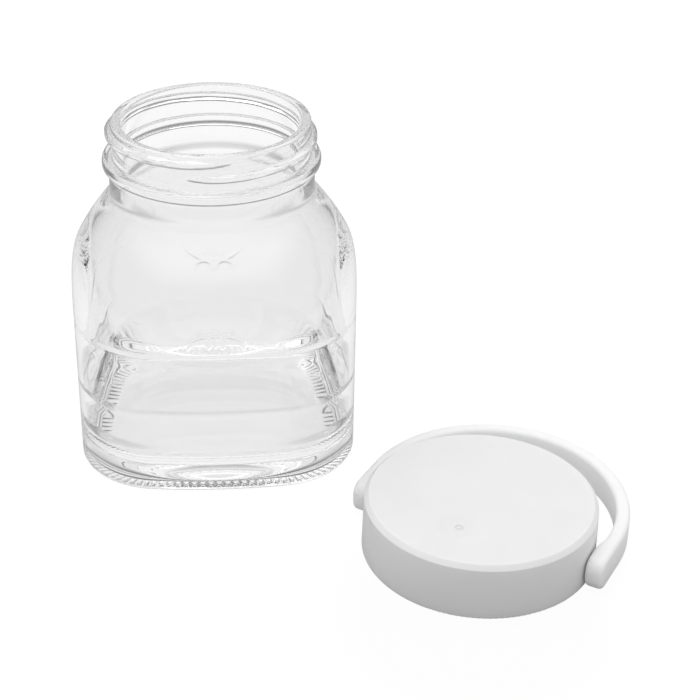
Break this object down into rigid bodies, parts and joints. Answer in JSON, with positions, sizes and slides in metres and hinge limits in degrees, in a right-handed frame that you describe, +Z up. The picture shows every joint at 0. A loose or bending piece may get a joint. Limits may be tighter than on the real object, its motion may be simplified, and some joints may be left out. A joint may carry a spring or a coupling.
{
  "type": "starter jar",
  "caption": "Wide-mouthed square glass jar with a helical neck thread, open, beside its flat screw lid with a plug liner, a seal ring and a folding strap handle.",
  "frame": {"origin": "centre of the jar's base, on the surface it stands on", "axes": "+Z up the jar's axis, -Y towards its front panel, +X to its right"},
  "size_m": [0.2104, 0.1962, 0.1335],
  "materials": {
    "glass": "clear pressed glass, fire-polished",
    "cap_plastic": "white polypropylene, fine matt",
    "liner_plastic": "white polypropylene, satin",
    "seal": "milky silicone, soft",
    "handle_plastic": "white polypropylene, fine matt"
  },
  "bodies": {
    "jar": {"jar": "glass"},
    "lid": {"lid_cap": "cap_plastic", "lid_liner": "liner_plastic", "seal_ring": "seal"},
    "handle": {"handle": "handle_plastic"}
  },
  "joints": [
    {"name": "lid_lift", "type": "slide", "parent": "jar", "child": "lid", "axis": [0, 0, 1], "range_m": [0, 0.14]},
    {"name": "handle_pivot", "type": "hinge", "parent": "lid", "child": "handle", "pos_m": [0.0961, -0.0962, 0.0067], "axis": [0.8396, -0.5432, 0], "range_deg": [-1.5, 177]}
  ]
}
